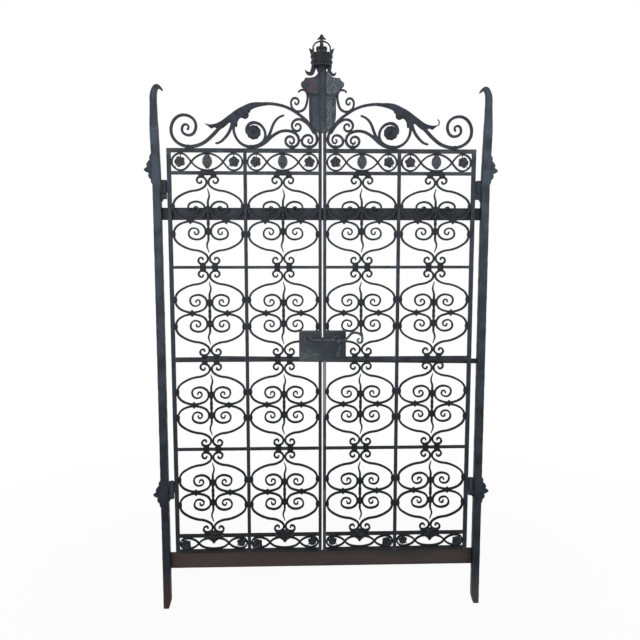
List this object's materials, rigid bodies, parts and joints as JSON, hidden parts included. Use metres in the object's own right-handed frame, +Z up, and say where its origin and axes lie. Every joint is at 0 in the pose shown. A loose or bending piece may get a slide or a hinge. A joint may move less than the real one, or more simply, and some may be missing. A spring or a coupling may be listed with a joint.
{
  "type": "wrought iron double driveway gate",
  "caption": "Double-leaf wrought iron gate between square posts, with scroll panels, interlaced friezes, a scrolled crest, a split shield, a crown and a lever latch.",
  "frame": {"origin": "middle of the left post's flat foot", "axes": "+X from the left post to the right post, +Y to the back, +Z up; the leaves swing to the front"},
  "size_m": [2.0538, 0.1444, 3.427],
  "materials": {
    "bar_iron": "worn satin black paint on hammered bars",
    "scroll_iron": "worn black paint on forged scrolls",
    "post_iron": "weathered blue-black paint on hammered square posts",
    "rusted_bar": "dull red-brown rust",
    "lock_plate": "scuffed dark paint on flat plate",
    "shield_plate": "weathered grey-black paint, rusty in one quarter"
  },
  "bodies": {
    "frame": {"post_left": "post_iron", "post_right": "post_iron", "crossbar_upper": "rusted_bar", "crossbar_lower": "rusted_bar", "rear_bar": "bar_iron", "pintles_left": "bar_iron", "pintles_right": "bar_iron", "post_ornaments_left": "bar_iron", "post_ornaments_right": "bar_iron"},
    "leaf_left": {"hinge_stile_left": "bar_iron", "middle_upright_left": "bar_iron", "meeting_stile_left": "bar_iron", "rails_left": "bar_iron", "scroll_row_1_left": "scroll_iron", "scroll_row_2_left": "scroll_iron", "scroll_row_3_left": "scroll_iron", "scroll_row_4_left": "scroll_iron", "upper_frieze_left": "scroll_iron", "lower_frieze_left": "scroll_iron", "crest_scrolls_left": "scroll_iron", "crest_leaf_left": "bar_iron", "shield_left": "shield_plate", "hinge_eyes_left": "bar_iron", "keeper_case": "lock_plate", "crown": "bar_iron"},
    "leaf_right": {"hinge_stile_right": "bar_iron", "middle_upright_right": "bar_iron", "meeting_stile_right": "bar_iron", "rails_right": "bar_iron", "scroll_row_1_right": "scroll_iron", "scroll_row_2_right": "scroll_iron", "scroll_row_3_right": "scroll_iron", "scroll_row_4_right": "scroll_iron", "upper_frieze_right": "scroll_iron", "lower_frieze_right": "scroll_iron", "crest_scrolls_right": "scroll_iron", "crest_leaf_right": "bar_iron", "shield_right": "shield_plate", "hinge_eyes_right": "bar_iron", "lever_case": "lock_plate"},
    "latch": {"latch_lever": "bar_iron"}
  },
  "joints": [
    {"name": "leaf_left_hinge", "type": "hinge", "parent": "frame", "child": "leaf_left", "pos_m": [0.041, 0, 0.7], "axis": [0, 0, -1], "range_deg": [0, 95]},
    {"name": "leaf_right_hinge", "type": "hinge", "parent": "frame", "child": "leaf_right", "pos_m": [1.879, 0, 0.7], "axis": [0, 0, 1], "range_deg": [0, 95]},
    {"name": "latch_pivot", "type": "hinge", "parent": "leaf_right", "child": "latch", "pos_m": [1.058, -0.039, 1.6705], "axis": [0, 1, 0], "range_deg": [0, 20]}
  ]
}
